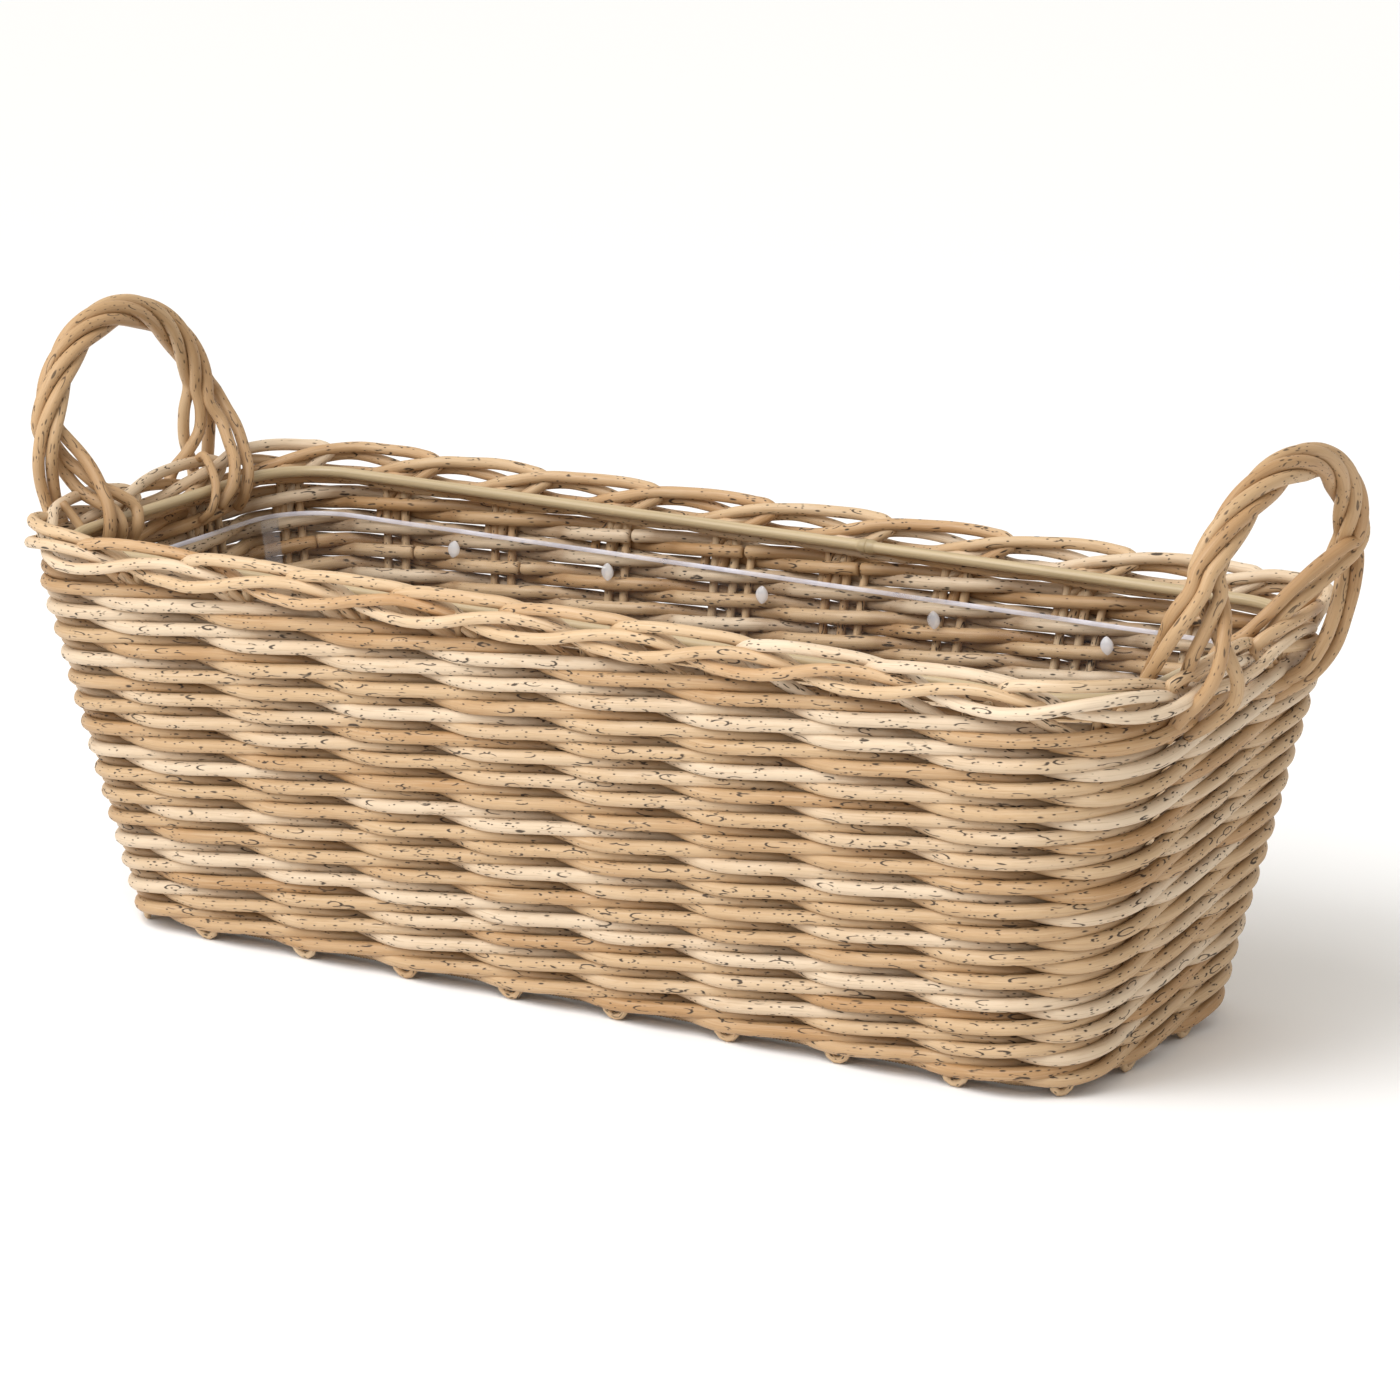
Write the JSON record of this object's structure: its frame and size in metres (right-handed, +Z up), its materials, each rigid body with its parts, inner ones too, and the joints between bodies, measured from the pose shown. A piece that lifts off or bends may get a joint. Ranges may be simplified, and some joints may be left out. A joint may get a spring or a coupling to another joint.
{
  "type": "woven flower basket",
  "caption": "Long flared basket of woven cane rods with rounded corners, a rolled border, a twisted handle at each end and a clear liner.",
  "frame": {"origin": "middle of the footprint, on the surface that the basket stands on", "axes": "+X along the length, from one handle to the other; +Z up"},
  "size_m": [0.5752, 0.215, 0.2535],
  "materials": {
    "wall_cane": "peeled cane, pale straw with dark flecks, satin",
    "border_cane": "peeled cane, straw to tan, satin",
    "stake_cane": "cane, shaded tan, satin",
    "handle_cane": "cane, orange tan with dark flecks, satin",
    "floor_cane": "cane, straw, matte",
    "base_ring_binding": "fine split-cane binding, matte",
    "hoop_rod": "smooth olive-beige rod, satin",
    "liner_film": "clear glossy film"
  },
  "bodies": {
    "root": {"base_ring": "base_ring_binding", "border_crest": "border_cane", "border_inner": "border_cane", "border_outer_high": "border_cane", "border_outer_low": "border_cane", "floor_panel": "floor_cane", "floor_runner_back": "floor_cane", "floor_runner_front": "floor_cane", "floor_runner_middle": "floor_cane", "handle_left_strand_1": "handle_cane", "handle_left_strand_2": "handle_cane", "handle_left_strand_3": "handle_cane", "handle_left_strand_4": "handle_cane", "handle_left_strand_5": "handle_cane", "handle_right_strand_1": "handle_cane", "handle_right_strand_2": "handle_cane", "handle_right_strand_3": "handle_cane", "handle_right_strand_4": "handle_cane", "handle_right_strand_5": "handle_cane", "liner": "liner_film", "rim_hoop": "hoop_rod", "stake_01": "stake_cane", "stake_02": "stake_cane", "stake_03": "stake_cane", "stake_04": "stake_cane", "stake_05": "stake_cane", "stake_06": "stake_cane", "stake_07": "stake_cane", "stake_08": "stake_cane", "stake_09": "stake_cane", "stake_10": "stake_cane", "stake_11": "stake_cane", "stake_12": "stake_cane", "stake_13": "stake_cane", "stake_14": "stake_cane", "stake_15": "stake_cane", "stake_16": "stake_cane", "stake_17": "stake_cane", "stake_18": "stake_cane", "stake_19": "stake_cane", "stake_20": "stake_cane", "stake_21": "stake_cane", "stake_22": "stake_cane", "stake_23": "stake_cane", "stake_24": "stake_cane", "wale_course_01": "wall_cane", "wale_course_02": "wall_cane", "wale_course_03": "wall_cane", "wale_course_04": "wall_cane", "wale_course_05": "wall_cane", "wale_course_06": "wall_cane", "wale_course_07": "wall_cane", "wale_course_08": "wall_cane", "wale_course_09": "wall_cane", "wale_course_10": "wall_cane", "wale_course_11": "wall_cane", "wale_course_12": "wall_cane", "wale_course_13": "wall_cane", "wale_course_14": "wall_cane", "wale_course_15": "wall_cane"}
  },
  "joints": []
}
